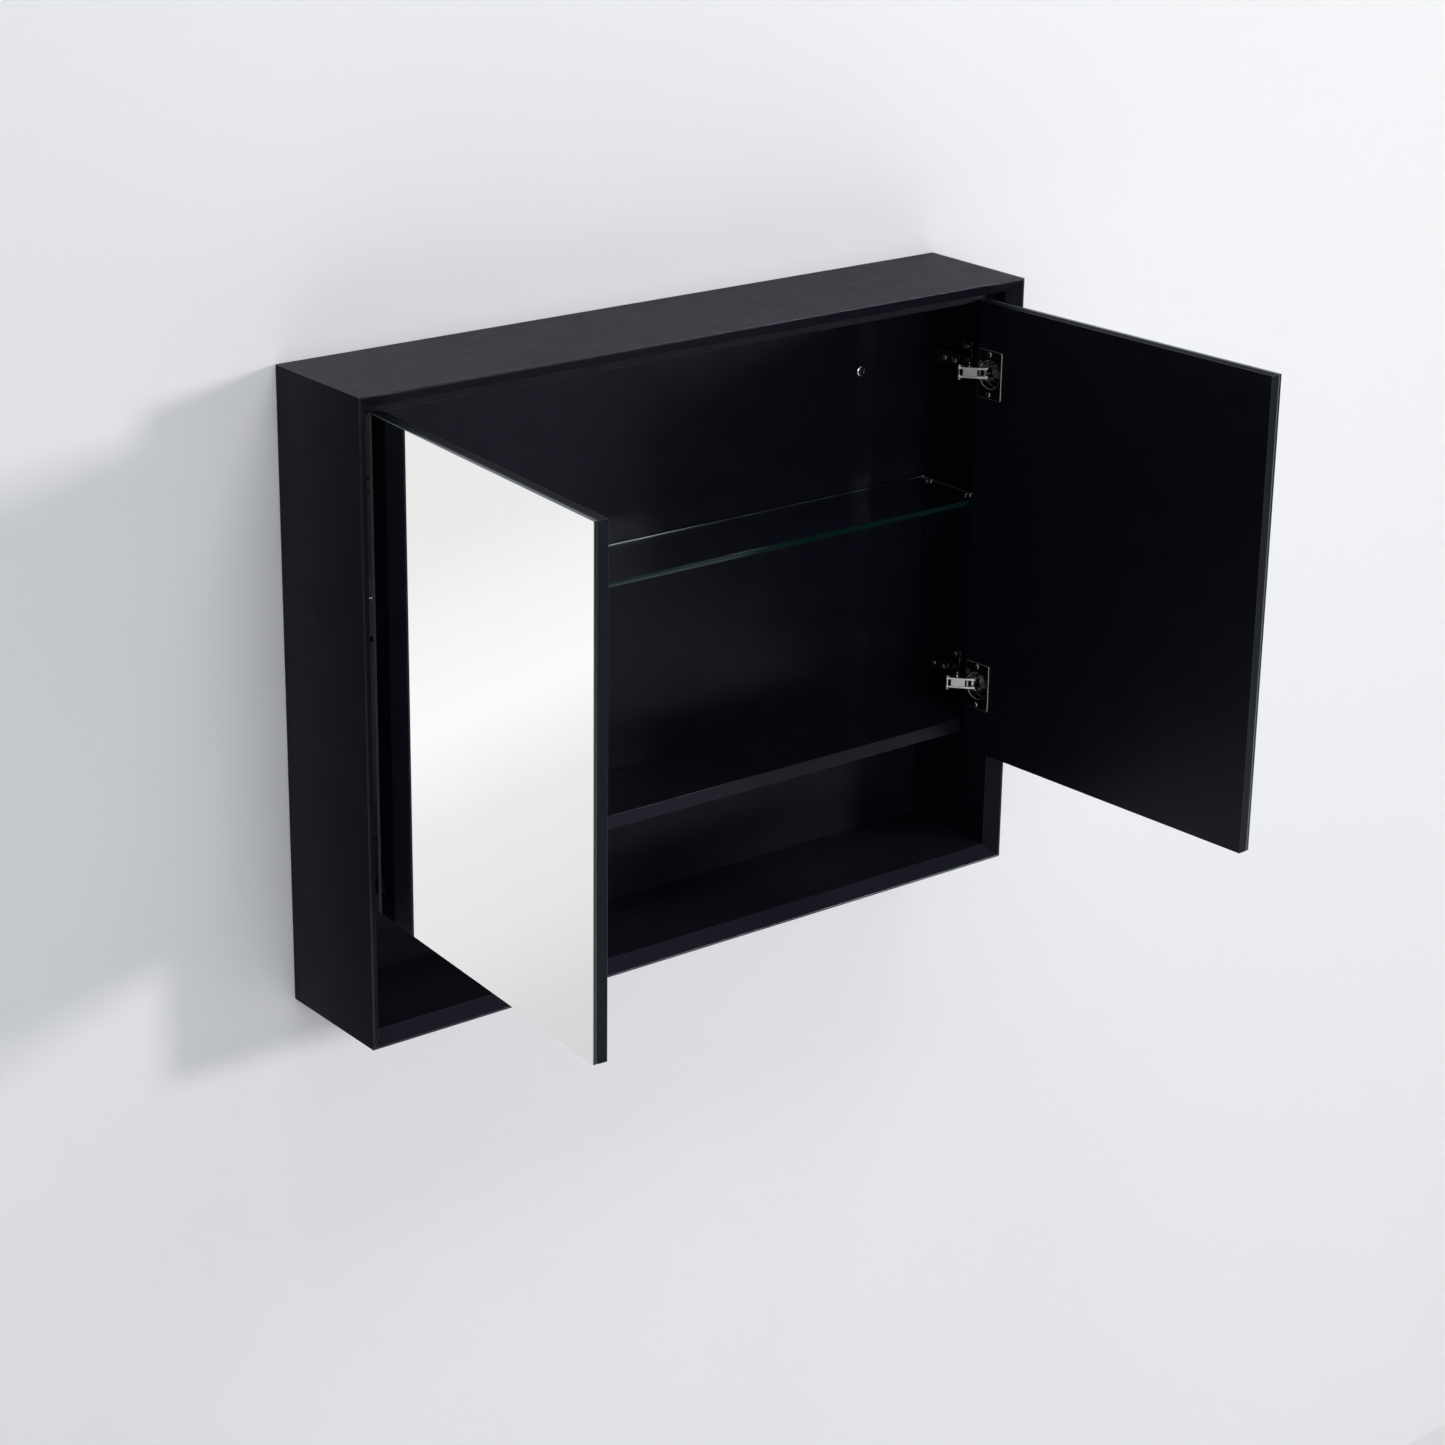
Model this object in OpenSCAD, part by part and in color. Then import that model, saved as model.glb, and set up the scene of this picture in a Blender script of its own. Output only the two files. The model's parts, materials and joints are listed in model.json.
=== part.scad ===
// Wall-hung mirror cabinet with a mitred, bevelled frame, two mirror doors on
// concealed cup hinges, a glass shelf, a fixed shelf and an open niche below.
// X runs to the right, Y into the wall, Z up. The origin is the middle of the
// back face, on the wall. The doors are drawn open; each one turns about its
// hinge links, and closes at zero opening angle.

/* [Cabinet] */
// Overall width
cabinet_w = 900; // [700:10:1200]
// Overall height
cabinet_h = 720; // [640:10:800]
// Overall depth of the carcass
cabinet_d = 160; // [150:1:180]
// Thickness of the frame and back panels
board_t = 16; // [15:1:18]
// Flat left on the front edge outside the bevel
edge_flat = 2; // [1:0.5:4]

/* [Interior] */
// Height of the fixed shelf's top face above the cabinet's underside
fixed_shelf_top = 178.5; // [150:0.5:220]
// Height of the glass shelf's underside above the cabinet's underside
glass_shelf_z = 446; // [380:1:500]
// Thickness of the glass shelf
glass_shelf_t = 6; // [5:1:8]
// Depth of the glass shelf, front to back
glass_shelf_d = 108; // [90:1:108]
// Height of the stop rail under the top panel
rail_h = 13; // [11:1:20]
// Spacing of the shelf-pin holes, up and down
pin_pitch = 62; // [50:1:70]

/* [Doors] */
// Opening angle at which the doors are drawn
open_deg = 94; // [90:1:96]
// Height of the doors' lower edge above the cabinet's underside
door_bottom = 144.5; // [130:0.5:150]
// Gap between the doors' upper edge and the cabinet's top face
door_top_gap = 25.5; // [24:0.5:27]
// Gap between the two closed doors
centre_gap = 3; // [2:0.5:5]
// Gap between a closed door and the side panel
side_gap = 2; // [1.5:0.5:3]
// Thickness of the mirror glass
mirror_t = 4; // [3:0.5:5]
// Thickness of the adhesive tape behind the mirror
tape_t = 0.8; // [0.5:0.1:1]
// Thickness of a whole door
door_t = 16; // [16:0.5:17]

/* [Hinges] */
// Height of each hinge's centre from the nearer end of its door
hinge_inset = 84; // [70:1:110]
// Diameter of the hinge cup
cup_dia = 35; // [35:1:36]
// Distance from the door's edge to the cup
cup_edge = 3; // [3:0.5:3.5]
// Spacing of the two screws in the cup's flange
flange_pitch = 48; // [45:1:50]
// Width of the hinge links
link_w = 12.6; // [12:0.2:13]

/* [Wall fixing] */
// Spacing of the two wall-fixing holes
fixing_pitch = 660; // [500:10:760]
// Distance of the wall-fixing holes below the cabinet's top face
fixing_drop = 123; // [80:1:180]
// Diameter of the wall-fixing holes
fixing_dia = 5.5; // [5:0.5:7]

/* [Hidden] */
$fn = 48;
black = [0.06, 0.06, 0.07];
nickel = [0.78, 0.78, 0.76];
past = 1; // how far a cutting shape runs past the face it opens

// Carcass
half_w = cabinet_w / 2;
base_z = -cabinet_h / 2;
top_z = cabinet_h / 2;
inner_x = half_w - board_t;
inner_top = top_z - board_t;
inner_bottom = base_z + board_t;
bevel_d = board_t - edge_flat;
mirror_setback = 1;
mirror_y = -(cabinet_d - bevel_d - mirror_setback);
stop_gap = 2;
stop_y = mirror_y + door_t + stop_gap;
shelf_z = base_z + fixed_shelf_top;
shelf_back_gap = 2;
glass_gap = 3;
glass_corner = 15;
glass_bottom = base_z + glass_shelf_z;
glass_back = -(board_t + shelf_back_gap);
pin_r = 2.5;
pin_clear = 0.05;
pin_in = 9;
pin_short = 0.5;
pin_out = 8;
pin_collar_r = 4;
pin_collar_t = 1.5;
pin_back_y = -28;
pin_front_y = -98;
spline_l = 100;
spline_w = 12;
spline_t = 3;
spline_in = board_t * 0.6;
shelf_dowel_r = 4;
shelf_dowel_l = 30;
shelf_dowel_out = 10;
shelf_dowel_y = [-110, -40];
dowel_r = 3;
back_dowel_l = 18;
back_dowel_out = 8;
back_dowel_at = 0.28;
rail_dowel_at = [-0.3, 0, 0.3];
rail_dowel_l = 16;
washer_r = 6.5;
washer_t = 2;
washer_bevel = 1.5;

// Doors. A door's own frame has its origin at the closed mirror face's hinge
// edge, u along the width, d through the thickness.
door_w = inner_x - side_gap - centre_gap / 2;
door_z = base_z + door_bottom;
door_h = cabinet_h - door_bottom - door_top_gap;
board_d = mirror_t + tape_t;
tape_w = 20;
tape_inset = 6;
closed_pt = [-(inner_x - side_gap), mirror_y];
hinge_edge_shift = [10, 12.5];
open_pt = closed_pt + hinge_edge_shift;
hinge_z = [door_z + hinge_inset, door_z + door_h - hinge_inset];

// Hinge geometry in plan, for the left door. The door's turn from closed to
// open has one fixed pole. The inner link's arm pivot lies on the bisector
// through that pole, so one link takes the door exactly from one to the other.
function turn(p, a) = [p[0] * cos(a) - p[1] * sin(a), p[0] * sin(a) + p[1] * cos(a)];
function door_pt(u, d) = open_pt + turn([u, d], -open_deg);
function closed_door_pt(u, d) = closed_pt + [u, d];
move = open_pt - closed_pt;
pole = (closed_pt + open_pt) / 2 - turn(move, 90) / (2 * tan(open_deg / 2));
cup_u = cup_edge + cup_dia / 2;
inner_c = [9, 12];
outer_c = [13, 13.5];
pole_to_c = closed_door_pt(inner_c[0], inner_c[1]) - pole;
bisector = atan2(pole_to_c[1], pole_to_c[0]) - open_deg / 2;
pivot_reach = 28;
pivot_spacing = [17, -1.8];
pivot_a = pole + pivot_reach * [cos(bisector), sin(bisector)];
pivot_b = pivot_a + pivot_spacing;
pivot_c = door_pt(inner_c[0], inner_c[1]);
pivot_d = door_pt(outer_c[0], outer_c[1]);

// Rivets and screws of the hinges
rivet_r = 1.25;
rivet_clear = 0.05;
rivet_head_r = 2.3;
rivet_head_t = 0.6;
screw_clear = 0.05;
plate_screw = [2, 11, 3.6, 1.2]; // shank radius, shank length, head radius, head height
arm_screw = [2, 0, 3.3, 1.3];
cup_screw = [1.75, 8, 3.4, 1];
arm_screw_y = [-79, -62];

// Cup and links
cup_wall = 0.8;
cup_rim = 1;
cup_floor_d = 6.5;
cup_screw_u = cup_u - 1.5;
lug_z = link_w / 2 + 0.3;
lug_t = 1.8;
lug_u = 6.2;
lug_w = 9.6;
lug_top_d = 15.1;
flange_u = [2.2, 38.8];
flange_t = 1;
flange_h = 57.5;
flange_corner = 2;
spring_size = [12, 0.6, 9];
spring_lip = 2.4;
inner_link_h = 6;
inner_link_t = 1.8;
inner_eye_r = [2.8, 2.3];
inner_bend = [[-2, 19.7], [7.2, 18.8]];
outer_elbow = [5, 21];
cheek_t = 2.2;
cheek_w = 3.2;
cheek_tip_w = 3;
outer_eye_r = 2.6;
web_t = 1;
web_out = 0.9;
web_back = 5;

// Arm and mounting plate
arm_cheek_z = link_w / 2 + 0.3;
arm_cheek_t = 1.5;
arm_eye_r = 3.2;
arm_stand_off = 4;
arm_web_x = -inner_x + 15;
arm_web_t = 1.6;
arm_nose = 8;
arm_back_y = -50;
arm_bend_y = -98;
web_front_y = arm_bend_y + 10;
plate_y = -86;
plate_pitch = 32;
plate_end = 8;
plate_w = 18;
plate_t = 2.5;
plate_corner = 4;
plate_rail_x = -inner_x + 12.5;
plate_rail_short = 4;
plate_rail_z = arm_cheek_z - 0.4;

// Flat bar with round ends between two points of a plan
module bar(p, q, w) {
    along = q - p;
    len = norm(along);
    side = [-along[1], along[0]] / len * w / 2;
    polygon([p + side, p - side, q - side, q + side]);
    translate(p) circle(w / 2);
    translate(q) circle(w / 2);
}

// Bars along a path of points
module path(points, w) {
    for (i = [0 : len(points) - 2]) bar(points[i], points[i + 1], w);
}

// Rectangle with round corners, centred
module rounded_outline(size, r) {
    square([size[0], size[1] - r * 2], center = true);
    square([size[0] - r * 2, size[1]], center = true);
    for (sx = [-1, 1]) for (sy = [-1, 1])
        translate([sx * (size[0] / 2 - r), sy * (size[1] / 2 - r)]) circle(r);
}

module at_hinges() {
    for (z = hinge_z) translate([0, 0, z]) children();
}

module right_side(right) {
    if (right) mirror([1, 0, 0]) children();
    else children();
}

module in_door_frame() {
    translate([open_pt[0], open_pt[1], 0]) rotate(-open_deg) children();
}

// Panel of the frame, lying along X, its outer face up, mitred at both ends
module frame_panel(len) {
    intersection() {
        translate([-len / 2, 0, 0]) rotate([90, 0, 90]) linear_extrude(len)
            polygon([[0, -board_t], [0, 0], [-cabinet_d, 0], [-cabinet_d, -edge_flat],
                     [-cabinet_d + bevel_d, -board_t]]);
        rotate([90, 0, 0]) linear_extrude(cabinet_d)
            polygon([[-len / 2, 0], [len / 2, 0], [len / 2 - board_t, -board_t],
                     [-len / 2 + board_t, -board_t]]);
    }
}

module corner_spline_set() {
    for (sx = [-1, 1]) for (sz = [-1, 1])
        translate([sx * (half_w - spline_in), -(board_t + spline_l / 2), sz * (top_z - spline_in)])
            rotate([0, sx * sz * 45, 0]) cube([spline_w, spline_l, spline_t], center = true);
}

module shelf_dowel_set() {
    for (sx = [-1, 1]) for (y = shelf_dowel_y)
        translate([sx * (inner_x + shelf_dowel_out - shelf_dowel_l / 2), y, shelf_z - board_t / 2])
            rotate([0, 90, 0]) cylinder(r = shelf_dowel_r, h = shelf_dowel_l, center = true);
}

module back_dowel_set() {
    reach = back_dowel_out - back_dowel_l / 2;
    for (s = [-1, 1]) for (t = [-1, 1]) {
        translate([s * (inner_x + reach), -board_t / 2, t * cabinet_h * back_dowel_at])
            rotate([0, 90, 0]) cylinder(r = dowel_r, h = back_dowel_l, center = true);
        translate([t * cabinet_w * back_dowel_at, -board_t / 2, s * (inner_top + reach)])
            cylinder(r = dowel_r, h = back_dowel_l, center = true);
    }
}

module rail_dowel_set() {
    for (at = rail_dowel_at)
        translate([at * cabinet_w, stop_y + board_t / 2, inner_top - rail_dowel_l / 2])
            cylinder(r = dowel_r, h = rail_dowel_l);
}

module top_panel() {
    color(black) difference() {
        translate([0, 0, top_z]) frame_panel(cabinet_w);
        corner_spline_set();
        back_dowel_set();
        rail_dowel_set();
    }
}

module bottom_panel() {
    color(black) difference() {
        translate([0, 0, base_z]) mirror([0, 0, 1]) frame_panel(cabinet_w);
        corner_spline_set();
        back_dowel_set();
    }
}

// Holes for the shelf pins, in the left side panel's inner face
module pin_holes() {
    for (y = [pin_front_y, pin_back_y]) for (k = [-1 : 1])
        translate([-inner_x - pin_in, y, glass_bottom - pin_r + k * pin_pitch])
            rotate([0, 90, 0]) cylinder(r = pin_r + pin_clear, h = pin_in + past);
}

module side_panel(right) {
    color(black) difference() {
        right_side(right) difference() {
            translate([-half_w, 0, 0]) rotate([0, -90, 0]) frame_panel(cabinet_h);
            pin_holes();
            at_hinges() plate_screw_pair(screw_clear);
        }
        corner_spline_set();
        back_dowel_set();
        shelf_dowel_set();
    }
}

module back_panel() {
    color(black) difference() {
        translate([-inner_x, -board_t, inner_bottom])
            cube([inner_x * 2, board_t, inner_top - inner_bottom]);
        back_dowel_set();
        for (s = [-1, 1]) translate([s * fixing_pitch / 2, past, top_z - fixing_drop])
            rotate([90, 0, 0]) cylinder(d = fixing_dia, h = board_t + past * 2);
    }
}

module stop_rail() {
    color(black) difference() {
        translate([-inner_x, stop_y, inner_top - rail_h]) cube([inner_x * 2, board_t, rail_h]);
        rail_dowel_set();
    }
}

module fixed_shelf() {
    color(black) difference() {
        translate([-inner_x, stop_y, shelf_z - board_t])
            cube([inner_x * 2, -board_t - stop_y, board_t]);
        shelf_dowel_set();
    }
}

// Glass shelf, with round front corners
module glass_shelf() {
    end_x = inner_x - glass_gap;
    color([0.6, 0.85, 0.8, 0.4]) translate([0, glass_back, glass_bottom])
        linear_extrude(glass_shelf_t) {
            translate([-end_x, glass_corner - glass_shelf_d])
                square([end_x * 2, glass_shelf_d - glass_corner]);
            translate([glass_corner - end_x, -glass_shelf_d])
                square([(end_x - glass_corner) * 2, glass_corner * 2]);
            for (s = [-1, 1])
                translate([s * (end_x - glass_corner), glass_corner - glass_shelf_d])
                    circle(glass_corner);
        }
}

// Shelf pins, each with a collar against the side panel
module shelf_pins() {
    color(nickel) for (s = [false, true]) right_side(s)
        for (y = [pin_front_y, pin_back_y]) translate([-inner_x, y, glass_bottom - pin_r])
            rotate([0, 90, 0]) {
                translate([0, 0, pin_short - pin_in])
                    cylinder(r = pin_r, h = pin_in - pin_short + pin_out);
                cylinder(r = pin_collar_r, h = pin_collar_t);
            }
}

module fixing_washers() {
    color(nickel) for (s = [-1, 1])
        translate([s * fixing_pitch / 2, -board_t, top_z - fixing_drop]) rotate([90, 0, 0])
            difference() {
                union() {
                    cylinder(r = washer_r, h = washer_t / 2);
                    translate([0, 0, washer_t / 2])
                        cylinder(r1 = washer_r, r2 = washer_r - washer_bevel, h = washer_t / 2);
                }
                translate([0, 0, -past]) cylinder(d = fixing_dia, h = washer_t + past * 2);
            }
}

// Screw along +Z: its head sits on the plane z = 0 and its shank goes below.
// size is the shank's radius and length and the head's radius and height.
module screw(size, through, clear) {
    translate([0, 0, -size[1] - through - clear])
        cylinder(r = size[0] + clear, h = size[1] + through + clear);
    cylinder(r = size[2], h = size[3]);
}

// Screws of one mounting plate, in the left side panel
module plate_screw_pair(clear) {
    for (s = [-1, 1]) translate([-inner_x + plate_t, plate_y, s * plate_pitch / 2])
        rotate([0, 90, 0]) screw(plate_screw, plate_t, clear);
}

module mounting_plates(right) {
    color(nickel) right_side(right) at_hinges() difference() {
        union() {
            translate([-inner_x, plate_y, 0]) rotate([0, 90, 0]) linear_extrude(plate_t)
                rounded_outline([plate_pitch + plate_end * 2, plate_w], plate_corner);
            translate([-inner_x, arm_bend_y + plate_rail_short, -plate_rail_z])
                cube([plate_rail_x + inner_x, arm_back_y - arm_bend_y - plate_rail_short * 2,
                      plate_rail_z * 2]);
        }
        plate_screw_pair(screw_clear);
    }
}

module plate_screws(right) {
    color(nickel) right_side(right) at_hinges() plate_screw_pair(0);
}

// Plan of one cheek of a hinge arm
module arm_plan() {
    foot_x = -inner_x + arm_stand_off;
    polygon([[arm_web_x, arm_back_y], [foot_x, arm_back_y], [foot_x, arm_bend_y],
             pivot_a + [-arm_eye_r, 0], pivot_a + [0, -arm_eye_r], pivot_b + [0, -arm_eye_r],
             pivot_b + [arm_eye_r, 0], [arm_web_x + arm_nose, arm_bend_y], [arm_web_x, web_front_y]]);
    for (p = [pivot_a, pivot_b]) translate(p) circle(arm_eye_r);
}

module hinge_arms(right) {
    color(nickel) right_side(right) at_hinges() {
        difference() {
            for (s = [0, 1]) mirror([0, 0, s])
                translate([0, 0, arm_cheek_z]) linear_extrude(arm_cheek_t) arm_plan();
            for (p = [pivot_a, pivot_b]) rivet_hole(p);
        }
        difference() {
            translate([arm_web_x - arm_web_t, web_front_y, -arm_cheek_z])
                cube([arm_web_t, arm_back_y - web_front_y, arm_cheek_z * 2]);
            arm_screw_pair(screw_clear);
        }
    }
}

// Adjusting and clamping screws of one hinge arm
module arm_screw_pair(clear) {
    for (y = arm_screw_y) translate([arm_web_x, y, 0]) rotate([0, 90, 0])
        screw(arm_screw, arm_web_x - plate_rail_x, clear);
}

module arm_screws(right) {
    color(nickel) right_side(right) at_hinges() arm_screw_pair(0);
}

// Rivet through both cheeks, with a head at each end
module rivet(p, half) {
    translate([p[0], p[1], -half]) cylinder(r = rivet_r, h = half * 2);
    for (s = [0, 1]) mirror([0, 0, s])
        translate([p[0], p[1], half]) cylinder(r = rivet_head_r, h = rivet_head_t);
}

module rivet_hole(p) {
    half = lug_z + lug_t + past;
    translate([p[0], p[1], -half]) cylinder(r = rivet_r + rivet_clear, h = half * 2);
}

module arm_rivets(right) {
    color(nickel) right_side(right) at_hinges()
        for (p = [pivot_a, pivot_b]) rivet(p, arm_cheek_z + arm_cheek_t);
}

// Inner link, bent around the door's edge
module inner_links(right) {
    bend = [pivot_a, for (p = inner_bend) door_pt(p[0], p[1]), pivot_c];
    color(nickel) right_side(right) at_hinges() difference() {
        translate([0, 0, -inner_link_h / 2]) linear_extrude(inner_link_h) {
            path(bend, inner_link_t);
            translate(pivot_a) circle(inner_eye_r[0]);
            translate(pivot_c) circle(inner_eye_r[1]);
        }
        for (p = [pivot_a, pivot_c]) rivet_hole(p);
    }
}

// Outer link: two cheeks joined by a web on the side away from the door
module outer_links(right) {
    elbow = door_pt(outer_elbow[0], outer_elbow[1]);
    color(nickel) right_side(right) at_hinges() difference() {
        union() {
            for (s = [0, 1]) mirror([0, 0, s])
                translate([0, 0, link_w / 2 - cheek_t]) linear_extrude(cheek_t) {
                    path([pivot_b, elbow], cheek_w);
                    bar(elbow, pivot_d, cheek_tip_w);
                    translate(pivot_b) circle(outer_eye_r);
                }
            translate([0, 0, -link_w / 2]) linear_extrude(link_w) web_plan(elbow);
        }
        rivet_hole(pivot_b);
    }
}

module web_plan(elbow) {
    along = (pivot_b - elbow) / norm(pivot_b - elbow);
    out = turn(along, -90) * web_out;
    bar(elbow + along * web_t / 2 + out, pivot_b - along * web_back + out, web_t);
}

module mirror_glass(right) {
    color([0.9, 0.92, 0.93]) right_side(right) in_door_frame()
        translate([0, 0, door_z]) cube([door_w, mirror_t, door_h]);
}

// Three upright tape strips, at both edges and in the middle of the mirror's back
module mirror_tape(right) {
    color(black) right_side(right) in_door_frame()
        for (u = [tape_inset, (door_w - tape_w) / 2, door_w - tape_inset - tape_w])
            translate([u, mirror_t, door_z + tape_inset])
                cube([tape_w, tape_t, door_h - tape_inset * 2]);
}

module door_board(right) {
    color(black) right_side(right) difference() {
        in_door_frame() translate([0, board_d, door_z])
            cube([door_w, door_t - board_d, door_h]);
        at_hinges() in_door_frame() {
            cup_cylinder(cup_dia / 2, cup_floor_d - cup_wall, door_t + past);
            cup_screw_pair(screw_clear);
        }
    }
}

// Cylinder along the door's thickness, at the cup's centre
module cup_cylinder(r, from, to) {
    translate([cup_u, from, 0]) rotate([-90, 0, 0]) cylinder(r = r, h = to - from);
}

module cup_screw_pair(clear) {
    for (s = [-1, 1]) translate([cup_screw_u, door_t + flange_t, s * flange_pitch / 2])
        rotate([-90, 0, 0]) screw(cup_screw, flange_t, clear);
}

module hinge_cups(right) {
    color(nickel) right_side(right) at_hinges() in_door_frame() difference() {
        union() {
            difference() {
                union() {
                    cup_cylinder(cup_dia / 2, cup_floor_d - cup_wall, door_t);
                    translate([(flange_u[0] + flange_u[1]) / 2, door_t, 0])
                        rotate([-90, 0, 0]) linear_extrude(flange_t)
                            rounded_outline([flange_u[1] - flange_u[0], flange_h], flange_corner);
                }
                cup_cylinder(cup_dia / 2 - cup_rim, cup_floor_d, door_t + flange_t + past);
            }
            for (s = [0, 1]) mirror([0, 0, s])
                translate([lug_u, cup_floor_d - cup_wall / 2, lug_z])
                    cube([lug_w, lug_top_d - cup_floor_d + cup_wall / 2, lug_t]);
        }
        cup_screw_pair(screw_clear);
        for (c = [inner_c, outer_c]) rivet_hole(c);
    }
}

module cup_screws(right) {
    color(nickel) right_side(right) at_hinges() in_door_frame() cup_screw_pair(0);
}

// The inner link's rivet runs right across the cup. The outer link's is two
// stubs in the cup's lugs.
module cup_rivets(right) {
    color(nickel) right_side(right) at_hinges() in_door_frame() {
        translate([inner_c[0], inner_c[1], -lug_z - lug_t])
            cylinder(r = rivet_r, h = (lug_z + lug_t) * 2);
        for (s = [0, 1]) mirror([0, 0, s])
            translate([outer_c[0], outer_c[1], lug_z]) cylinder(r = rivet_r, h = lug_t);
    }
}

// Leaf spring on the floor of the cup, with an upturned lip
module cup_springs(right) {
    color(nickel) right_side(right) at_hinges() in_door_frame()
        translate([cup_u - spring_size[0] / 3, cup_floor_d, -spring_size[2] / 2]) {
            cube(spring_size);
            translate([spring_size[0] - spring_size[1], 0, 0])
                cube([spring_size[1], spring_lip, spring_size[2]]);
        }
}

top_panel();
bottom_panel();
side_panel(false);  // left_side_panel
side_panel(true);  // right_side_panel
back_panel();
stop_rail();
fixed_shelf();
glass_shelf();
shelf_pins();
color("tan") corner_spline_set();  // corner_splines
color("tan") shelf_dowel_set();  // shelf_dowels
color("tan") back_dowel_set();  // back_dowels
color("tan") rail_dowel_set();  // rail_dowels
fixing_washers();
mounting_plates(false);  // left_mounting_plates
mounting_plates(true);  // right_mounting_plates
plate_screws(false);  // left_plate_screws
plate_screws(true);  // right_plate_screws
hinge_arms(false);  // left_hinge_arms
hinge_arms(true);  // right_hinge_arms
arm_screws(false);  // left_arm_screws
arm_screws(true);  // right_arm_screws
arm_rivets(false);  // left_arm_rivets
arm_rivets(true);  // right_arm_rivets
inner_links(false);  // left_inner_links
inner_links(true);  // right_inner_links
outer_links(false);  // left_outer_links
outer_links(true);  // right_outer_links
mirror_glass(false);  // left_mirror_glass
mirror_glass(true);  // right_mirror_glass
mirror_tape(false);  // left_mirror_tape
mirror_tape(true);  // right_mirror_tape
door_board(false);  // left_door_board
door_board(true);  // right_door_board
hinge_cups(false);  // left_hinge_cups
hinge_cups(true);  // right_hinge_cups
cup_screws(false);  // left_cup_screws
cup_screws(true);  // right_cup_screws
cup_rivets(false);  // left_cup_rivets
cup_rivets(true);  // right_cup_rivets
cup_springs(false);  // left_cup_springs
cup_springs(true);  // right_cup_springs
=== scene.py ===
# Looks of a wall-hung mirror cabinet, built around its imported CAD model.
# Metres, X to the right, Y into the wall, Z up. The cabinet's back face is the plane y = 0.
import json
import math

import bmesh
import bpy
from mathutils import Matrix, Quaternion, Vector

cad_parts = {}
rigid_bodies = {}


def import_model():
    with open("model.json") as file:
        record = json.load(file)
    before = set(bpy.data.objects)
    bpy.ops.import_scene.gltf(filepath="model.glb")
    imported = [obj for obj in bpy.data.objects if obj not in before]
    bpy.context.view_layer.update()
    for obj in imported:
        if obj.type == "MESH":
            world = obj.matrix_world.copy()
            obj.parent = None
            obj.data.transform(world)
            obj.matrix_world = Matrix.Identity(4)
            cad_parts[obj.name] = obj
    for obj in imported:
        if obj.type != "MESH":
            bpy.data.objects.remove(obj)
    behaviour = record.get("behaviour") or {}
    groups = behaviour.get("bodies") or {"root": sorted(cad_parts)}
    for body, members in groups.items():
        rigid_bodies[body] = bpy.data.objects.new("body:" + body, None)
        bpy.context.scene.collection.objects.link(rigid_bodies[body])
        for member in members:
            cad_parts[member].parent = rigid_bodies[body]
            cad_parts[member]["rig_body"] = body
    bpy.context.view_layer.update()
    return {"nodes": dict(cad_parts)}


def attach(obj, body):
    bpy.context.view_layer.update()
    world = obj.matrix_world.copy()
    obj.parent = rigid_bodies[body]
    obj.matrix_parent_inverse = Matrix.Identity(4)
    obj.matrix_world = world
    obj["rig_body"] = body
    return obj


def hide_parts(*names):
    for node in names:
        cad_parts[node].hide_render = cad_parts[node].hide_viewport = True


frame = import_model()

MM = 0.001
SIDES = ("left", "right")

# Camera: to the left of the cabinet and above its middle
CAMERA_AT = Vector((-2.201, -2.974, 1.270))
CAMERA_AZIMUTH = -38.23
CAMERA_ELEVATION = 19.57
CAMERA_ROLL = 0.83
CAMERA_LENS = 85.3
CAMERA_SHIFT = -0.05

# Room
WALL_GAP = 0.6 * MM
FLOOR_Z = -1.685
ROOM_REACH = 6.0

# Card that the open mirror reflects, to the left of the cabinet
CARD_X = (-0.92, -0.505)
CARD_Y = -10 * MM
CARD_Z = (-0.75, 0.50)
# It fades out towards its edges over this width, and over less on the cabinet's side
CARD_FADE = 0.12
CARD_NEAR_FADE = 5 * MM
# Its band: rise across the card, the heights between which it lies, and its levels between them
CARD_TILT = 0.25
CARD_SPAN = (-0.75, 0.25)
CARD_GLOW = ((0.0, 0.70), (0.14, 0.75), (0.27, 0.85), (0.42, 0.90),
             (0.54, 1.05), (0.66, 0.98), (0.75, 0.90), (1.0, 0.88))

# Light
CABINET_MIDDLE = (0, 0, 0)
WARM_WHITE = (1.0, 0.985, 0.96)
COOL_WHITE = (0.91, 0.94, 1.0)
WORLD_COLOUR = (0.95, 0.965, 1.0, 1)
WORLD_HEIGHT = (-0.5, 0.8)
WORLD_STRENGTH = (0.08, 0.16)

# Cleaning of a node's mesh: corners closer than the weld are one, and faces that meet at less
# than the flat angle are one. Edges sharper than the sharp angle are rounded.
WELD = 0.002 * MM
FLAT_ANGLE = math.radians(0.5)
SHARP_ANGLE = math.radians(35)

# Widths of the rounded or ground edges
FRAME_EDGE = 0.7 * MM
PANEL_EDGE = 0.4 * MM
DOOR_EDGE = 0.5 * MM
SHEET_METAL_EDGE = 0.2 * MM
CUP_EDGE = 0.3 * MM
SCREW_EDGE = 0.25 * MM
SPRING_EDGE = 0.1 * MM
TAPE_EDGE = 0.15 * MM
PIN_EDGE = 0.6 * MM
DOWEL_EDGE = 0.4 * MM
MIRROR_ARRIS = 0.5 * MM
SHELF_ARRIS = 0.4 * MM

# Strip without silvering along each mirror's hinge side
SEAM_WIDTH = 6.5 * MM
# Width of the cut edge at the front of each hinge cup's flange, at rest
FLANGE_RIM = 1.2 * MM

# Cosines between a face's normal and a direction: it looks that way, or it stands across
FACING = 0.99
ACROSS = 0.05
# Share of the largest face's area from which a face counts as one of a plate's two broad ones
BROAD_SHARE = 0.9

# Colour sockets of the Mix node, which shares its socket names between data types
MIX_A, MIX_B, MIX_RESULT = 6, 7, 2


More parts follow.
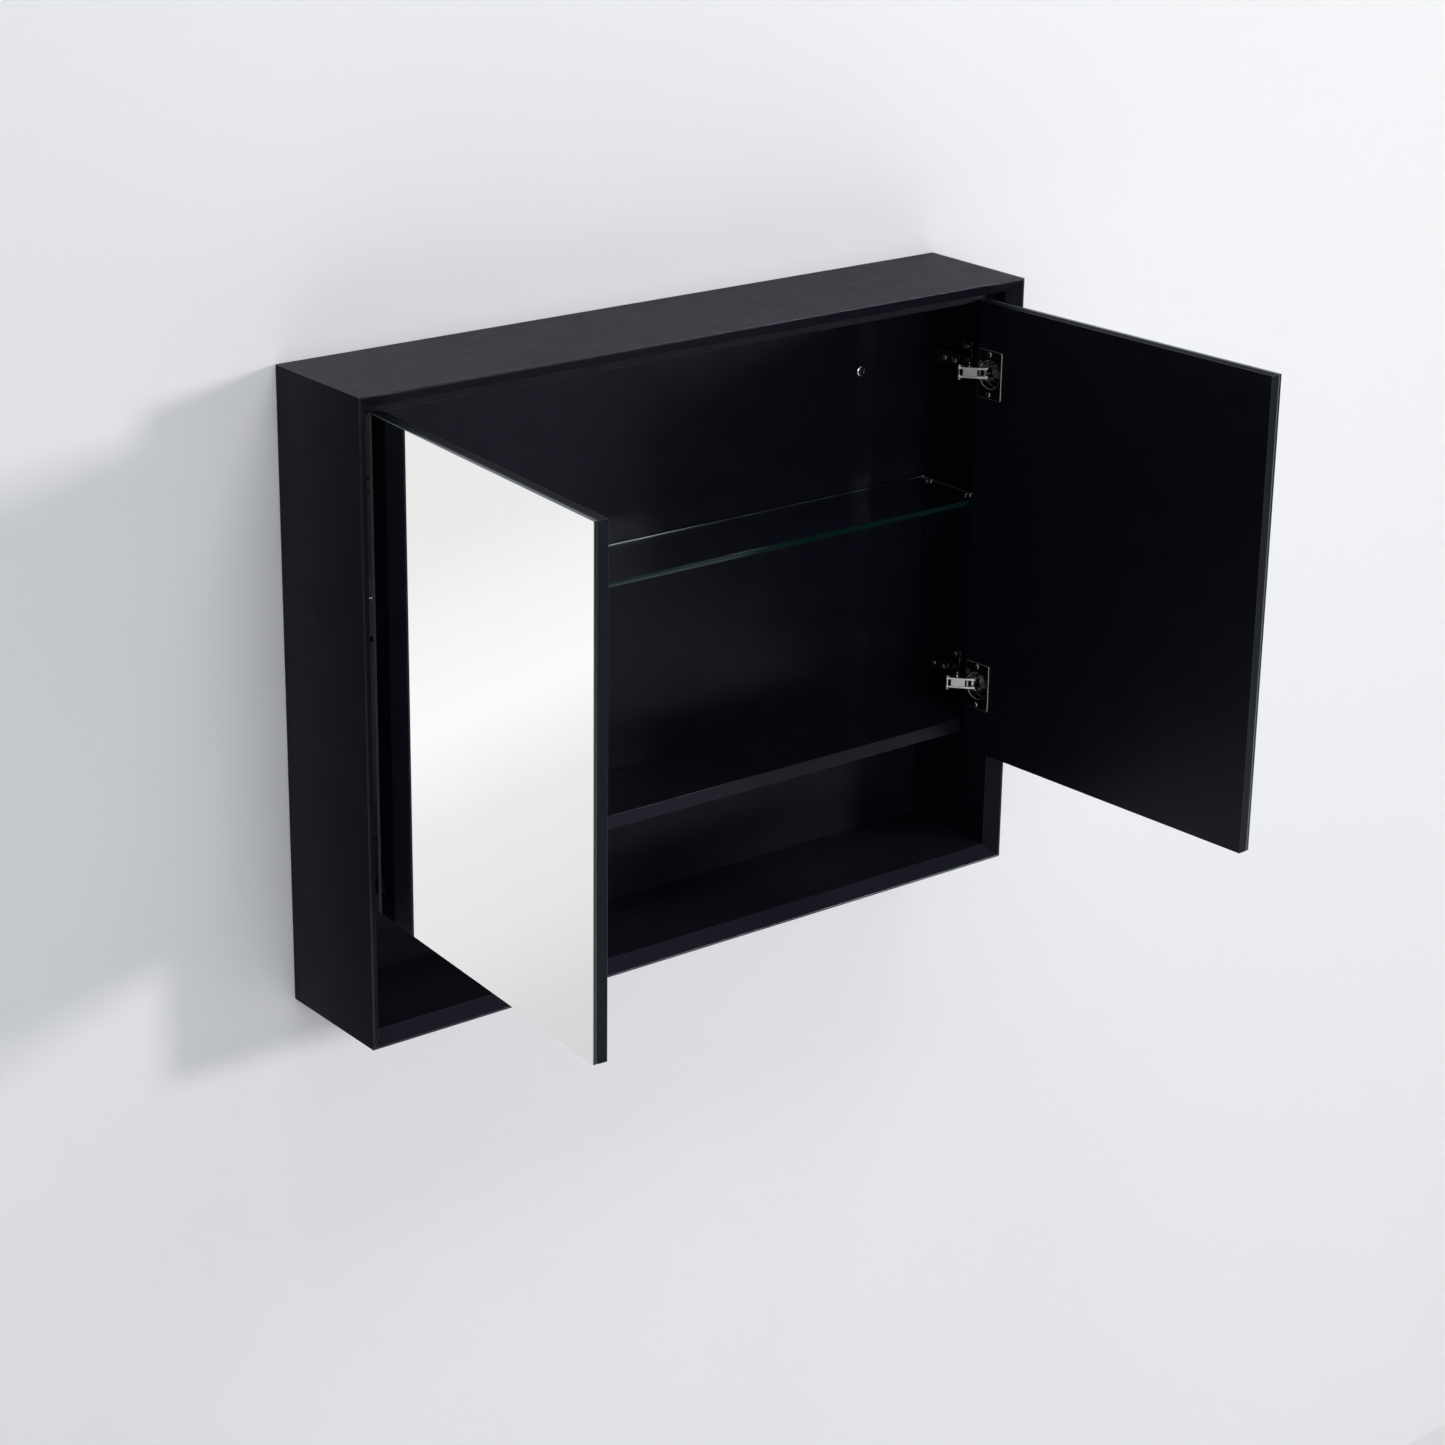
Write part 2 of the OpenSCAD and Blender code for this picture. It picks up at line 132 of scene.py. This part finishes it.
def make_camera():
    """Camera looking along its azimuth and elevation, turned a little about its own axis."""
    azimuth, elevation = math.radians(CAMERA_AZIMUTH), math.radians(CAMERA_ELEVATION)
    flat = math.cos(elevation)
    forward = Vector((-math.sin(azimuth) * flat, math.cos(azimuth) * flat, -math.sin(elevation)))
    turn = forward.to_track_quat("-Z", "Y") @ Quaternion((0, 0, 1), math.radians(CAMERA_ROLL))
    data = bpy.data.cameras.new("camera")
    data.lens = CAMERA_LENS
    data.shift_y = CAMERA_SHIFT
    camera = bpy.data.objects.new("camera", data)
    camera.location = CAMERA_AT
    camera.rotation_euler = turn.to_euler()
    bpy.context.scene.collection.objects.link(camera)
    bpy.context.scene.camera = camera


# ---- Node helpers ----------------------------------------------------------------

class Nodes:
    """A material's node tree, with short ways to add and join nodes."""

    def __init__(self, name):
        self.material = bpy.data.materials.new(name)
        self.material.use_nodes = True
        self.tree = self.material.node_tree
        self.shader = self.tree.nodes["Principled BSDF"]
        self.output = self.tree.nodes["Material Output"]

    def add(self, kind, inputs=None, **settings):
        """New node with its settings, and with a value or another node's socket at its inputs."""
        node = self.tree.nodes.new(kind)
        for key, value in settings.items():
            setattr(node, key, value)
        for key, value in (inputs or {}).items():
            self.put(node, key, value)
        return node

    def put(self, node, key, value):
        if isinstance(value, bpy.types.NodeSocket):
            self.tree.links.new(value, node.inputs[key])
        else:
            node.inputs[key].default_value = value

    def set(self, **values):
        """Inputs of the material's shader, with _ for the spaces in their names."""
        for key, value in values.items():
            self.put(self.shader, key.replace("_", " "), value)

    def surface(self, first, second, share):
        """What the material shows: the first shader, with the second's share of the second."""
        mix = self.add("ShaderNodeMixShader", {0: share, 1: first, 2: second})
        self.put(self.output, "Surface", mix.outputs[0])

    def clear(self):
        return self.add("ShaderNodeBsdfTransparent").outputs[0]

    def place(self):
        return self.add("ShaderNodeTexCoord").outputs["Object"]

    def math(self, operation, *values):
        return self.add("ShaderNodeMath", dict(enumerate(values)), operation=operation).outputs[0]

    def noise(self, scale, detail=3.0, stretch=None):
        place = self.place()
        if stretch:
            place = self.add("ShaderNodeMapping", {"Vector": place, "Scale": stretch}).outputs[0]
        inputs = {"Vector": place, "Scale": scale, "Detail": detail, "Roughness": 0.5}
        return self.add("ShaderNodeTexNoise", inputs).outputs["Fac"]

    def spread(self, value, low, high, from_low=0.3, from_high=0.7):
        inputs = {"Value": value, "From Min": from_low, "From Max": from_high,
                  "To Min": low, "To Max": high}
        return self.add("ShaderNodeMapRange", inputs).outputs["Result"]

    def blend(self, value, low, high):
        ramp = self.add("ShaderNodeValToRGB", {"Fac": value})
        ramp.color_ramp.elements[0].color = (*low, 1)
        ramp.color_ramp.elements[1].color = (*high, 1)
        return ramp.outputs["Color"]

    def bump(self, height, depth, under=None):
        inputs = {"Height": height, "Strength": 1.0, "Distance": depth}
        if under:
            inputs["Normal"] = under
        return self.add("ShaderNodeBump", inputs).outputs["Normal"]


# ---- Materials -------------------------------------------------------------------

def black_lacquer(name, low, high, specular):
    """Black lacquer with a blue cast, fine orange peel and a gloss between two roughnesses."""
    n = Nodes(name)
    cloud = n.noise(9.0, detail=4.0)
    peel = n.noise(850.0, detail=2.0)
    wave = n.noise(60.0, detail=2.0)
    n.set(Base_Color=n.blend(cloud, (0.0024, 0.0024, 0.0058), (0.0034, 0.0033, 0.0074)),
          Roughness=n.spread(n.noise(35.0, detail=5.0), low, high),
          Normal=n.bump(peel, 0.006 * MM, n.bump(wave, 0.05 * MM)))
    n.set(Specular_IOR_Level=specular, Specular_Tint=(0.76, 0.80, 1.0, 1),
          Sheen_Weight=0.025, Sheen_Roughness=0.35, Sheen_Tint=(0.60, 0.65, 1.0, 1))
    return n.material


def nickel_plate(name, low, high, dull=(0.70, 0.69, 0.66), clean=(0.80, 0.79, 0.77)):
    """Nickel plate with faint rolling lines, hazed between two roughnesses and two colours."""
    n = Nodes(name)
    lines = n.noise(1.0, detail=6.0, stretch=(900, 900, 9000))
    haze = n.noise(120.0, detail=4.0)
    n.set(Base_Color=n.blend(haze, dull, clean),
          Metallic=1.0,
          Roughness=n.spread(haze, low, high),
          Normal=n.bump(lines, 0.001 * MM))
    return n.material


def spring_steel():
    """Rolled spring steel with lines along the leaf."""
    n = Nodes("spring_steel")
    lines = n.noise(1.0, detail=5.0, stretch=(400, 8000, 400))
    n.set(Base_Color=n.blend(lines, (0.30, 0.30, 0.31), (0.46, 0.46, 0.47)),
          Metallic=1.0,
          Roughness=n.spread(lines, 0.26, 0.38),
          Normal=n.bump(lines, 0.006 * MM))
    return n.material


def silvered_mirror():
    """Silver seen through glass: nearly clean, with faint wiping haze."""
    n = Nodes("silvered_mirror")
    haze = n.noise(14.0, detail=6.0, stretch=(1, 1, 0.35))
    n.set(Base_Color=n.blend(haze, (0.905, 0.920, 0.915), (0.925, 0.935, 0.930)),
          Metallic=1.0,
          Roughness=n.spread(haze, 0.004, 0.014))
    return n.material


def glass_edge():
    """Polished edge of float glass: dark green in the depth, with fine grinding lines."""
    n = Nodes("glass_edge")
    lines = n.noise(1.0, detail=5.0, stretch=(3000, 3000, 60))
    n.set(Base_Color=n.blend(lines, (0.006, 0.013, 0.013), (0.012, 0.024, 0.022)),
          Roughness=n.spread(lines, 0.10, 0.20),
          Normal=n.bump(lines, 0.001 * MM))
    return n.material


def ground_arris():
    """Narrow ground chamfer along a glass edge, pale and satin."""
    n = Nodes("ground_arris")
    grain = n.noise(2500.0, detail=3.0)
    n.set(Base_Color=n.blend(grain, (0.14, 0.18, 0.17), (0.22, 0.27, 0.26)),
          Roughness=n.spread(grain, 0.22, 0.36),
          Normal=n.bump(grain, 0.004 * MM))
    return n.material


def seam_painted_reflection():
    """Mirror-edge strip without silvering, painted pale grey: a painted reflection of the room."""
    n = Nodes("seam_painted_reflection")
    lines = n.noise(1.0, detail=4.0, stretch=(900, 900, 40))
    n.set(Base_Color=n.blend(lines, (0.24, 0.27, 0.27), (0.32, 0.35, 0.35)),
          Roughness=n.spread(lines, 0.18, 0.30),
          Normal=n.bump(lines, 0.001 * MM))
    return n.material


def mirror_back_paint():
    """Grey-green protective paint on the mirror's back, speckled."""
    n = Nodes("mirror_back_paint")
    speckle = n.noise(600.0, detail=4.0)
    n.set(Base_Color=n.blend(speckle, (0.060, 0.075, 0.075), (0.090, 0.105, 0.100)),
          Roughness=n.spread(speckle, 0.50, 0.62),
          Normal=n.bump(speckle, 0.01 * MM))
    return n.material


def clear_glass():
    """Clear float glass with a faint green tint and almost no waviness."""
    n = Nodes("clear_glass")
    wave = n.noise(6.0, detail=2.0)
    n.set(Base_Color=n.blend(wave, (0.900, 0.965, 0.945), (0.925, 0.975, 0.960)),
          Roughness=n.spread(wave, 0.0, 0.012),
          Normal=n.bump(wave, 0.02 * MM))
    n.set(Transmission_Weight=1.0, IOR=1.5)
    return n.material


def shelf_glass_edge():
    """Flat-ground and polished edge of the glass shelf."""
    n = Nodes("shelf_glass_edge")
    lines = n.noise(1.0, detail=5.0, stretch=(60, 2500, 2500))
    n.set(Base_Color=n.blend(lines, (0.004, 0.050, 0.038), (0.010, 0.085, 0.066)),
          Roughness=n.spread(lines, 0.06, 0.16),
          Normal=n.bump(lines, 0.001 * MM))
    n.set(Transmission_Weight=0.8, IOR=1.5)
    return n.material


def foam_tape():
    """Black foam mounting tape with fine cells."""
    n = Nodes("foam_tape")
    cells = n.noise(1800.0, detail=3.0)
    n.set(Base_Color=n.blend(cells, (0.010, 0.010, 0.010), (0.030, 0.030, 0.031)),
          Roughness=n.spread(cells, 0.75, 0.95),
          Normal=n.bump(cells, 0.08 * MM))
    return n.material


def beech():
    """Turned beech, with grain along X and short dark flecks."""
    n = Nodes("beech")
    grain = n.noise(1.0, detail=6.0, stretch=(90, 900, 900))
    fleck = n.noise(1.0, detail=3.0, stretch=(350, 2200, 2200))
    wood = n.blend(grain, (0.44, 0.27, 0.14), (0.66, 0.47, 0.29))
    dark = n.blend(fleck, (0.70, 0.60, 0.50), (1.0, 1.0, 1.0))
    mixed = n.add("ShaderNodeMix", data_type="RGBA", blend_type="MULTIPLY")
    n.put(mixed, "Factor", 0.6)
    n.put(mixed, MIX_A, wood)
    n.put(mixed, MIX_B, dark)
    n.set(Base_Color=mixed.outputs[MIX_RESULT],
          Roughness=n.spread(grain, 0.50, 0.68),
          Normal=n.bump(grain, 0.05 * MM))
    return n.material


def stage_paint(name, low, high, roughness):
    """Smooth matt paint for the wall and the floor. Seen from its back it is clear."""
    n = Nodes(name)
    n.set(Base_Color=n.blend(n.noise(0.6, detail=2.0), low, high),
          Roughness=roughness,
          Normal=n.bump(n.noise(250.0), 0.02 * MM))
    n.set(Specular_IOR_Level=0.2)
    behind = n.add("ShaderNodeNewGeometry").outputs["Backfacing"]
    n.surface(n.shader.outputs[0], n.clear(), behind)
    return n.material


def soft_card_light():
    """Glow for what the open mirror reflects: a slanting band, fading out at the card's edges."""
    n = Nodes("soft_card")
    place = n.add("ShaderNodeSeparateXYZ", {"Vector": n.place()})
    x, z = place.outputs["X"], place.outputs["Z"]
    tilted = n.math("MULTIPLY_ADD", x, CARD_TILT, z)
    ramp = n.add("ShaderNodeValToRGB", {"Fac": n.spread(tilted, 0, 1, *CARD_SPAN)})
    stops = ramp.color_ramp.elements
    while len(stops) < len(CARD_GLOW):
        stops.new(0.5)
    for stop, (at, level) in zip(stops, CARD_GLOW):
        stop.position = at
        stop.color = (level, level, level, 1)
    light = n.add("ShaderNodeEmission", {"Color": ramp.outputs["Color"], "Strength": 1.0})
    (x0, x1), (z0, z1) = CARD_X, CARD_Z
    shown = n.spread(x, 0, 1, x0, x0 + CARD_FADE)
    for value, edge, full in ((x, x1, x1 - CARD_NEAR_FADE),
                              (z, z0, z0 + CARD_FADE),
                              (z, z1, z1 - CARD_FADE)):
        shown = n.math("MULTIPLY", shown, n.spread(value, 0, 1, edge, full))
    n.surface(n.clear(), light.outputs[0], shown)
    return n.material


# ---- Stage -----------------------------------------------------------------------

def stage_plane(name, corners, material):
    mesh = bpy.data.meshes.new(name)
    mesh.from_pydata(corners, [], [(0, 1, 2, 3)])
    mesh.materials.append(material)
    plane = bpy.data.objects.new(name, mesh)
    bpy.context.scene.collection.objects.link(plane)
    return plane


def upright(span_x, y, span_z):
    """Corners of a plane parallel to the wall that faces the room."""
    (x0, x1), (z0, z1) = span_x, span_z
    return [(x0, y, z0), (x1, y, z0), (x1, y, z1), (x0, y, z1)]


def make_stage():
    """Pale wall behind the cabinet and pale floor below. Light goes through the wall."""
    r = ROOM_REACH
    wall = stage_plane("wall", upright((-r, r), WALL_GAP, (FLOOR_Z, r)),
                       stage_paint("wall_paint", (0.81, 0.815, 0.825), (0.83, 0.835, 0.845), 0.6))
    wall.visible_shadow = False
    floor = [(x, y, FLOOR_Z) for x, y in ((-r, -r), (r, -r), (r, r), (-r, r))]
    stage_plane("floor", floor,
                stage_paint("floor_paint", (0.74, 0.74, 0.75), (0.78, 0.78, 0.79), 0.5))


def make_card(seen_by):
    """Glowing card that shows only in reflections on the collection's pieces."""
    card = stage_plane("card", upright(CARD_X, CARD_Y, CARD_Z), soft_card_light())
    card.visible_camera = False
    card.visible_diffuse = False
    card.visible_shadow = False
    card.visible_transmission = False
    card.light_linking.receiver_collection = seen_by


def area_light(name, at, aim, size, watts, colour=(1, 1, 1)):
    data = bpy.data.lights.new(name, "AREA")
    data.shape = "RECTANGLE"
    data.size, data.size_y = size
    data.energy = watts
    data.color = colour
    light = bpy.data.objects.new(name, data)
    light.location = at
    light.rotation_euler = (Vector(aim) - Vector(at)).to_track_quat("-Z", "Y").to_euler()
    light.visible_camera = False
    bpy.context.scene.collection.objects.link(light)


def studio_world():
    """Dim light from all round, a little stronger from above."""
    world = bpy.data.worlds.new("studio")
    world.use_nodes = True
    nodes, links = world.node_tree.nodes, world.node_tree.links
    background = nodes["Background"]
    place = nodes.new("ShaderNodeTexCoord")
    parts = nodes.new("ShaderNodeSeparateXYZ")
    strength = nodes.new("ShaderNodeMapRange")
    strength.interpolation_type = "SMOOTHSTEP"
    limits = zip(("From Min", "From Max", "To Min", "To Max"), WORLD_HEIGHT + WORLD_STRENGTH)
    for key, value in limits:
        strength.inputs[key].default_value = value
    links.new(place.outputs["Generated"], parts.inputs[0])
    links.new(parts.outputs["Z"], strength.inputs["Value"])
    links.new(strength.outputs["Result"], background.inputs["Strength"])
    background.inputs["Color"].default_value = WORLD_COLOUR
    bpy.context.scene.world = world


def make_lights():
    """Key from the right, soft light from above, in front and the left, and one behind the wall."""
    area_light("key", (3.4, -4.0, 1.0), CABINET_MIDDLE, (0.8, 0.8), watts=109, colour=WARM_WHITE)
    area_light("top", (0.2, -1.6, 3.2), (0.2, 0, 0.6), (2.0, 1.0), watts=36)
    area_light("fill", (-3.4, -4.6, 1.0), CABINET_MIDDLE, (2.0, 2.0), watts=12)
    area_light("front", (-1, -6, 1), CABINET_MIDDLE, (3.0, 3.0), watts=118, colour=COOL_WHITE)
    area_light("behind", (0, 1.6, 0.3), CABINET_MIDDLE, (0.7, 0.7), watts=18)
    studio_world()
    bpy.context.scene.view_settings.view_transform = "Standard"


# ---- Pieces ----------------------------------------------------------------------

def solid_copy(node):
    """The node's own solid as a bmesh: one vertex at each corner, and one face on each flat."""
    mesh = bmesh.new()
    mesh.from_mesh(frame["nodes"][node].data)
    bmesh.ops.remove_doubles(mesh, verts=mesh.verts, dist=WELD)
    bmesh.ops.dissolve_limit(mesh, angle_limit=FLAT_ANGLE, verts=mesh.verts, edges=mesh.edges)
    return mesh


def sharp_edges(mesh):
    return [e for e in mesh.edges
            if len(e.link_faces) == 2 and e.calc_face_angle(0) > SHARP_ANGLE]


def middle(part):
    """Mean of a vertex's, edge's or face's points, to the micrometre."""
    points = [part.co] if isinstance(part, bmesh.types.BMVert) else [v.co for v in part.verts]
    return tuple(round(sum(p[axis] for p in points) / len(points), 6) for axis in range(3))


def put_in_order(mesh):
    """Vertices, edges and faces in an order that is the same each run."""
    for parts in (mesh.verts, mesh.edges, mesh.faces):
        rank = {part: index for index, part in enumerate(sorted(parts, key=middle))}
        parts.sort(key=rank.get)


def piece_from(mesh, name, materials):
    """Object made from a bmesh, shaded smooth across its roundings."""
    data = bpy.data.meshes.new(name)
    mesh.to_mesh(data)
    mesh.free()
    for material in materials:
        data.materials.append(material)
    data.shade_smooth()
    piece = bpy.data.objects.new(name, data)
    bpy.context.scene.collection.objects.link(piece)
    normals = piece.modifiers.new("normals", "WEIGHTED_NORMAL")
    normals.keep_sharp = True
    return piece


def stands_for(piece, node):
    """The piece rides on the node's body in place of the node, which is hidden."""
    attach(piece, frame["nodes"][node]["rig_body"])
    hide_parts(node)


def rounded(node, width, materials, special=None):
    """The node's solid with its edges rounded. The roundings take the last material.
    A face takes the second material where special, a test of the face and the mesh's
    lowest y, says so."""
    mesh = solid_copy(node)
    bmesh.ops.bevel(mesh, geom=sharp_edges(mesh), offset=width, segments=3, profile=0.5,
                    affect="EDGES", clamp_overlap=False, material=len(materials) - 1)
    if special:
        front = min(v.co.y for v in mesh.verts)
        for f in mesh.faces:
            if special(f, front):
                f.material_index = 1
    stands_for(piece_from(mesh, node + "_piece", materials), node)


def glass_plate(node, arris, faces, edges, chamfers, front=None):
    """Flat glass with ground arrises: its two broad faces, its edges and its chamfers differ.
    With a front, it is a mirror: its back is painted, and a seam shows along its hinge side."""
    face, edge, chamfer, back, seam = range(5)
    mesh = solid_copy(node)
    broad = max(f.calc_area() for f in mesh.faces)
    flat = [f.normal.copy() for f in mesh.faces if f.calc_area() > BROAD_SHARE * broad]
    bmesh.ops.bevel(mesh, geom=sharp_edges(mesh), offset=arris, segments=1,
                    affect="EDGES", clamp_overlap=True)
    for f in mesh.faces:
        along = max(abs(f.normal.dot(n)) for n in flat)
        f.material_index = face if along > FACING else edge if along < ACROSS else chamfer
        if front is not None and along > FACING and f.normal.dot(front) < 0:
            f.material_index = back
    materials = [faces, edges, chamfers]
    if front is not None:
        # The hinge-side seam takes a pale grey that is a painted reflection.
        materials += [mirror_back_paint(), seam_painted_reflection()]
        seam_y = max(v.co.y for v in mesh.verts) - SEAM_WIDTH
        every = list(mesh.verts) + list(mesh.edges) + list(mesh.faces)
        bmesh.ops.bisect_plane(mesh, geom=every, plane_co=(0, seam_y, 0), plane_no=(0, 1, 0))
        put_in_order(mesh)
        for f in mesh.faces:
            if f.material_index == face and f.calc_center_median().y > seam_y:
                f.material_index = seam
    piece = piece_from(mesh, node + "_piece", materials)
    stands_for(piece, node)
    return piece


def upper_face(f, front):
    return f.normal.z > FACING


def flange_rim(f, front):
    return f.calc_center_median().y < front + FLANGE_RIM


make_camera()
mirrors = bpy.data.collections.new("mirrors")
make_stage()
make_card(mirrors)
make_lights()

lacquer = black_lacquer("matt_lacquer", 0.56, 0.62, specular=0.18)
edge_lacquer = black_lacquer("edge_lacquer", 0.28, 0.36, specular=0.6)
satin_lacquer = black_lacquer("satin_lacquer", 0.34, 0.42, specular=0.21)
door_top = black_lacquer("door_top_lacquer", 0.66, 0.74, specular=0.06)
nickel = nickel_plate("bright_nickel", 0.03, 0.07)
# Painted shade: nickel far darker than nickel is, for hinge parts in the cabinet's shade.
nickel_painted_shade = nickel_plate("nickel_painted_shade", 0.08, 0.14, (0.15, 0.145, 0.13), (0.21, 0.205, 0.19))
satin = nickel_plate("satin_nickel", 0.18, 0.26)
sheared = nickel_plate("sheared_edge", 0.48, 0.58)
wood = beech()
tape = foam_tape()
spring = spring_steel()

for node in ("top_panel", "bottom_panel", "left_side_panel", "right_side_panel"):
    rounded(node, FRAME_EDGE, [lacquer, edge_lacquer])
for node in ("back_panel", "stop_rail", "fixed_shelf"):
    rounded(node, PANEL_EDGE, [satin_lacquer, edge_lacquer])
for side in SIDES:
    rounded(side + "_door_board", DOOR_EDGE, [satin_lacquer, door_top, edge_lacquer], upper_face)
    for part in ("hinge_arms", "mounting_plates"):
        rounded(f"{side}_{part}", SHEET_METAL_EDGE, [nickel_painted_shade, nickel])
    rounded(side + "_inner_links", SHEET_METAL_EDGE, [nickel])
    rounded(side + "_outer_links", SHEET_METAL_EDGE, [satin])
    rounded(side + "_hinge_cups", CUP_EDGE, [nickel_painted_shade, sheared], flange_rim)
    for part in ("plate_screws", "arm_screws", "cup_screws", "arm_rivets", "cup_rivets"):
        rounded(f"{side}_{part}", SCREW_EDGE, [nickel])
    rounded(side + "_cup_springs", SPRING_EDGE, [spring])
    rounded(side + "_mirror_tape", TAPE_EDGE, [tape])
rounded("shelf_pins", PIN_EDGE, [nickel])
rounded("fixing_washers", SHEET_METAL_EDGE, [nickel])
for node in ("corner_splines", "shelf_dowels", "back_dowels", "rail_dowels"):
    rounded(node, DOWEL_EDGE, [wood])

for side, front in (("left", Vector((-1, 0, 0))), ("right", Vector((1, 0, 0)))):
    mirrors.objects.link(glass_plate(side + "_mirror_glass", MIRROR_ARRIS, silvered_mirror(),
                                     glass_edge(), ground_arris(), front))
shelf_edge = shelf_glass_edge()
glass_plate("glass_shelf", SHELF_ARRIS, clear_glass(), shelf_edge, shelf_edge)
